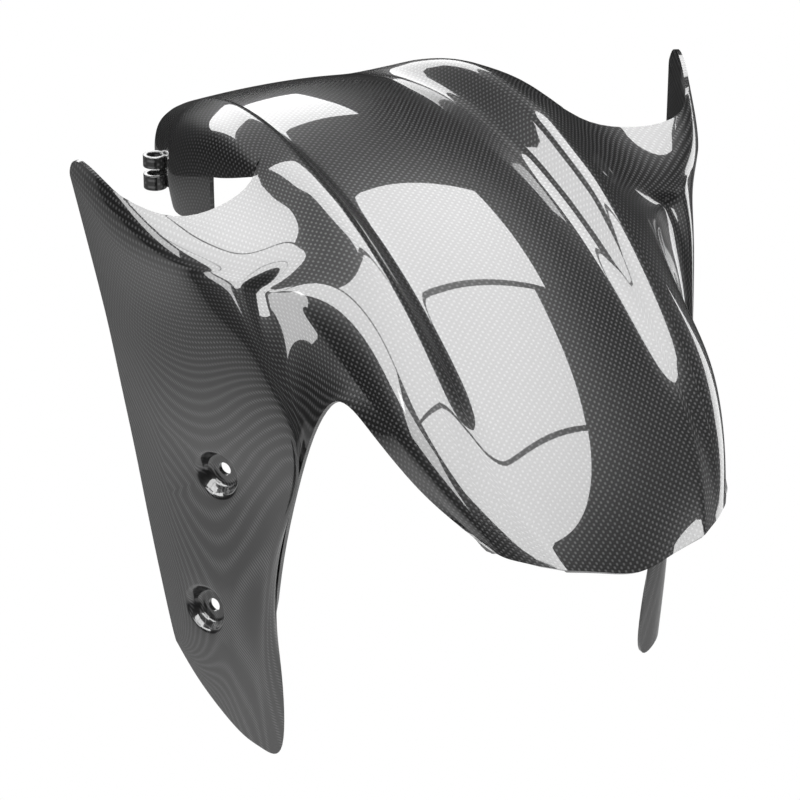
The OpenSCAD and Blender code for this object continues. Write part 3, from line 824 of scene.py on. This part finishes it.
class Sum:
    """A number in a shader, so that expressions on it add Math nodes."""

    def __init__(self, shader: "Shader", socket: Any) -> None:
        """Wraps a socket of a shader."""
        self.shader, self.socket = shader, socket

    def _with(self, operation: str, *values: Any) -> "Sum":
        """The result of a Math node on these values."""
        node = self.shader.node("ShaderNodeMath", {"operation": operation}, dict(enumerate(values)))
        return Sum(self.shader, node.outputs[0])

    def __add__(self, other: Any) -> "Sum":
        """Sum of two values."""
        return self._with("ADD", self, other)

    def __sub__(self, other: Any) -> "Sum":
        """Difference of two values."""
        return self._with("SUBTRACT", self, other)

    def __rsub__(self, other: Any) -> "Sum":
        """Difference from a plain number."""
        return self._with("SUBTRACT", other, self)

    def __mul__(self, other: Any) -> "Sum":
        """Product of two values."""
        return self._with("MULTIPLY", self, other)

    def __truediv__(self, other: Any) -> "Sum":
        """Quotient of two values."""
        return self._with("DIVIDE", self, other)

    __rmul__ = __mul__

    def floor(self) -> "Sum":
        """The whole number below."""
        return self._with("FLOOR", self)

    def fraction(self) -> "Sum":
        """What is left above the whole number below."""
        return self._with("FRACT", self)

    def remainder(self, by: float) -> "Sum":
        """What is left after dividing, never below zero."""
        return self._with("FLOORED_MODULO", self, by)

    def clamp(self) -> "Sum":
        """The value held between zero and one."""
        return self._with("MINIMUM", self._with("MAXIMUM", self, 0.0), 1.0)


class Shader:
    """Adds nodes to one node tree."""

    def __init__(self, tree: bpy.types.NodeTree) -> None:
        """Empties the tree and keeps it."""
        self.tree = tree
        tree.nodes.clear()

    def node(self, kind: str, settings: dict[str, Any] | None = None,
             inputs: dict[Any, Any] | None = None) -> Any:
        """Makes a node.

        Args:
            kind: Type of the node.
            settings: Its properties, set first.
            inputs: Values or links of its sockets, by name or number.

        Returns:
            The node.
        """
        node = self.tree.nodes.new(kind)
        for name, value in (settings or {}).items():
            setattr(node, name, value)
        for name, value in (inputs or {}).items():
            value = value.socket if isinstance(value, Sum) else value
            if isinstance(value, bpy.types.NodeSocket):
                self.tree.links.new(value, node.inputs[name])
            else:
                node.inputs[name].default_value = value
        return node

    def colours(self, share: Sum, a: tuple[float, ...], b: tuple[float, ...]) -> Any:
        """The colour at a share of the way from a to b, as a socket."""
        mixed = self.node("ShaderNodeMix", {"data_type": "RGBA"}, {0: share, 6: (*a, 1), 7: (*b, 1)})
        return mixed.outputs[2]


@dataclass(frozen=True)
class CarbonWeave:
    """Plain-weave carbon cloth under a gloss clear coat, with the sheen of the tows painted into the base
    colour: lightest along the crown of each over tow and faint on the under tows.
    """

    name: str = "carbon_weave"
    tow: float = 1.65
    # Base colours: the darker is the bare fibre, the lighter is the painted sheen at the crown of an over
    # tow.
    dark: tuple[float, float, float] = (0.003, 0.003, 0.0031)
    light: tuple[float, float, float] = (0.10, 0.10, 0.102)
    # Share of the painted sheen that the under tows get.
    under_tow_sheen: float = 0.06
    run_fall: float = 0.7
    relief: float = 0.06
    bump: float = 0.6
    ior: float = 1.5
    roughness: float = 0.38
    coat_roughness: float = 0.02
    coat_ior: float = 2.0

    def make(self) -> bpy.types.Material:
        """Builds the material.

        Returns:
            The material.
        """
        material = bpy.data.materials.new(self.name)
        material.use_nodes = True
        shader = Shader(material.node_tree)
        lengths = shader.node("ShaderNodeAttribute", {"attribute_name": "weave"}).outputs["Vector"]
        parts = shader.node("ShaderNodeSeparateXYZ", None, {0: lengths}).outputs
        across = Sum(shader, parts[0]) / self.tow + 0.5
        along = Sum(shader, parts[1]) / self.tow
        over = (across.floor() + along.floor()).remainder(2.0)
        a, b = across.fraction() * 2.0 - 1.0, along.fraction() * 2.0 - 1.0
        width = a + (b - a) * over
        run = b + (a - b) * over
        crown = (1.0 - width * width) * (1.0 - run * run * self.run_fall)
        # Painted sheen: the base colour is lightest along each over tow's crown and faint on the under tows,
        # standing in for light that the fibres reflect.
        painted_sheen = (1.0 - over) * crown * crown + self.under_tow_sheen * over * crown
        colour = shader.colours(painted_sheen, self.dark, self.light)
        bump = shader.node("ShaderNodeBump", None, {
            "Strength": self.bump, "Distance": self.relief * MM, "Height": crown,
        })
        surface = shader.node("ShaderNodeBsdfPrincipled", None, {
            "Base Color": colour, "Roughness": self.roughness, "IOR": self.ior, "Normal": bump.outputs[0],
            "Coat Weight": 1.0, "Coat Roughness": self.coat_roughness, "Coat IOR": self.coat_ior,
        })
        shader.node("ShaderNodeOutputMaterial", None, {"Surface": surface.outputs[0]})
        return material


@dataclass(frozen=True)
class Softbox:
    """A flat lamp: its middle and the way it faces away from, in metres, its size and its level."""

    name: str
    place: tuple[float, float, float]
    away: tuple[float, float, float]
    width: float
    height: float
    level: float


@dataclass
class Studio:
    """White surroundings, soft lamps and the camera."""

    softboxes: tuple[Softbox, ...] = (
        Softbox("crown_box_rear", (0.33, 0.41, 1.5), (0, 0, 1), 1.37, 0.78, 4.6),
        Softbox("crown_box_middle", (-0.06, -0.455, 1.5), (0, 0, 1), 1.88, 0.87, 4.6),
        Softbox("crown_box_front", (-0.055, -1.335, 1.5), (0, 0, 1), 1.89, 0.81, 4.6),
        Softbox("left_top_box", (-1.4, 0.4, 1.4), (-0.6, 0, 1), 0.7, 1.7, 4.6),
        Softbox("left_box", (-1.5, -0.75, 0.9), (-1.5, -0.75, 0.9), 0.9, 0.9, 3.5),
        Softbox("right_box", (2.0, -0.05, 0.2), (1, 0, 0), 1.0, 0.9, 3.5),
        Softbox("back_box", (0.2, 1.9, 0.95), (0.1, 1.9, 0.95), 1.3, 0.7, 3.5),
    )
    drape_r: float = 3.2
    drape: tuple[float, float, float] = (0.05, 0.05, 0.05)
    floor_drop: float = 0.9
    floor: tuple[float, float, float] = (0.6, 0.6, 0.6)
    azimuth: float = -29.29
    elevation: float = 24.0
    distance: float = 1806.08
    offset: tuple[float, float] = (-19.87, -130.17)
    lens: float = 162.0
    sensor: float = 36.0
    ambient: float = 0.35

    def build(self, shell: Shell) -> None:
        """Sets up the surroundings, the lamps and the camera.

        Args:
            shell: The moulding, for the middle that places are taken from.
        """
        for box in self.softboxes:
            self.add_softbox(box)
        self.add_world()
        self.add_drape()
        self.add_floor()
        self.add_camera(shell.middle)
        bpy.context.scene.view_settings.view_transform = "Standard"

    def add_softbox(self, box: Softbox) -> None:
        """Adds one lamp that faces the object.

        Args:
            box: The lamp's place, direction, size and level.
        """
        lamp = bpy.data.lights.new(box.name, "AREA")
        lamp.shape = "RECTANGLE"
        lamp.size, lamp.size_y = box.width, box.height
        lamp.energy = box.level * math.pi * box.width * box.height
        obj = bpy.data.objects.new(box.name, lamp)
        back = Vector(box.away).normalized()
        side = Vector((0, 1, 0)).cross(back).normalized()
        turn = Matrix((side, back.cross(side), back)).transposed().to_4x4()
        obj.matrix_world = Matrix.Translation(box.place) @ turn
        bpy.context.scene.collection.objects.link(obj)

    def add_world(self) -> None:
        """Makes the surroundings white to the eye and to reflections, and soft grey as light."""
        world = bpy.data.worlds.new("studio")
        world.use_nodes = True
        bpy.context.scene.world = world
        shader = Shader(world.node_tree)
        path = shader.node("ShaderNodeLightPath").outputs
        seen = Sum(shader, path["Is Camera Ray"]) + Sum(shader, path["Is Glossy Ray"])
        seen = (seen + Sum(shader, path["Is Transmission Ray"])).clamp()
        level = seen + (1.0 - seen) * self.ambient
        back = shader.node("ShaderNodeBackground", None, {"Color": (1, 1, 1, 1), "Strength": level})
        shader.node("ShaderNodeOutputWorld", None, {"Surface": back.outputs[0]})

    def add_drape(self) -> None:
        """Hangs dark cloth round the studio, which keeps the white off the sides of the object."""
        bm = bmesh.new()
        bmesh.ops.create_uvsphere(bm, u_segments=48, v_segments=24, radius=self.drape_r)
        obj = add_object(bm, "drape")
        material = bpy.data.materials.new("drape")
        material.use_nodes = True
        shader = Shader(material.node_tree)
        cloth = shader.node("ShaderNodeBsdfDiffuse", None, {"Color": (*self.drape, 1)})
        shader.node("ShaderNodeOutputMaterial", None, {"Surface": cloth.outputs[0]})
        dress(obj, material)
        obj.visible_camera = False

    def add_floor(self) -> None:
        """Lays the pale floor below the object; it is white to the eye."""
        bm = bmesh.new()
        bmesh.ops.create_grid(bm, x_segments=1, y_segments=1, size=self.drape_r)
        bmesh.ops.translate(bm, verts=bm.verts, vec=(0, 0, -self.floor_drop))
        obj = add_object(bm, "floor")
        material = bpy.data.materials.new("floor")
        material.use_nodes = True
        shader = Shader(material.node_tree)
        seen = shader.node("ShaderNodeLightPath").outputs["Is Camera Ray"]
        paint = shader.node("ShaderNodeBsdfDiffuse", None, {"Color": (*self.floor, 1)})
        white = shader.node("ShaderNodeEmission", None, {"Color": (1, 1, 1, 1), "Strength": 1.0})
        both = shader.node("ShaderNodeMixShader", None, {0: seen, 1: paint.outputs[0], 2: white.outputs[0]})
        shader.node("ShaderNodeOutputMaterial", None, {"Surface": both.outputs[0]})
        dress(obj, material)

    def add_camera(self, middle: np.ndarray) -> None:
        """Adds the camera at the photograph's place, which was found about the wheel axis.

        Args:
            middle: The part's origin about the wheel axis.
        """
        a, e = math.radians(self.azimuth), math.radians(self.elevation)
        right = point(math.cos(a), math.sin(a), 0)
        back = point(math.sin(a) * math.cos(e), -math.cos(a) * math.cos(e), math.sin(e))
        up = np.cross(back, right)
        place = back * self.distance - right * self.offset[0] - up * self.offset[1] - middle
        camera = bpy.data.cameras.new("camera")
        camera.lens, camera.sensor_width = self.lens, self.sensor
        camera.clip_start, camera.clip_end = 0.05, 50
        obj = bpy.data.objects.new("camera", camera)
        obj.location = place * MM
        obj.rotation_euler = Vector(back).to_track_quat("Z", "Y").to_euler()
        bpy.context.scene.collection.objects.link(obj)
        bpy.context.scene.camera = obj


def dress(obj: bpy.types.Object, material: bpy.types.Material) -> None:
    """Gives an object its one material."""
    obj.data.materials.clear()
    obj.data.materials.append(material)


def main() -> None:
    """Builds the fender, its finish and the studio."""
    logging.basicConfig(level=logging.INFO, format="%(message)s")
    carbon = CarbonWeave().make()
    shell = Shell()
    moulding = shell.build()
    dress(moulding, carbon)
    LOG.info("moulding: %d faces in the half skin", len(moulding.data.polygons))
    guide = HoseGuide().build(shell)
    dress(guide, carbon)
    LOG.info("hose guide: %d faces", len(guide.data.polygons))
    studio = Studio()
    studio.build(shell)
    LOG.info("studio: %d lamps", len(studio.softboxes))


if __name__ == "__main__":
    main()
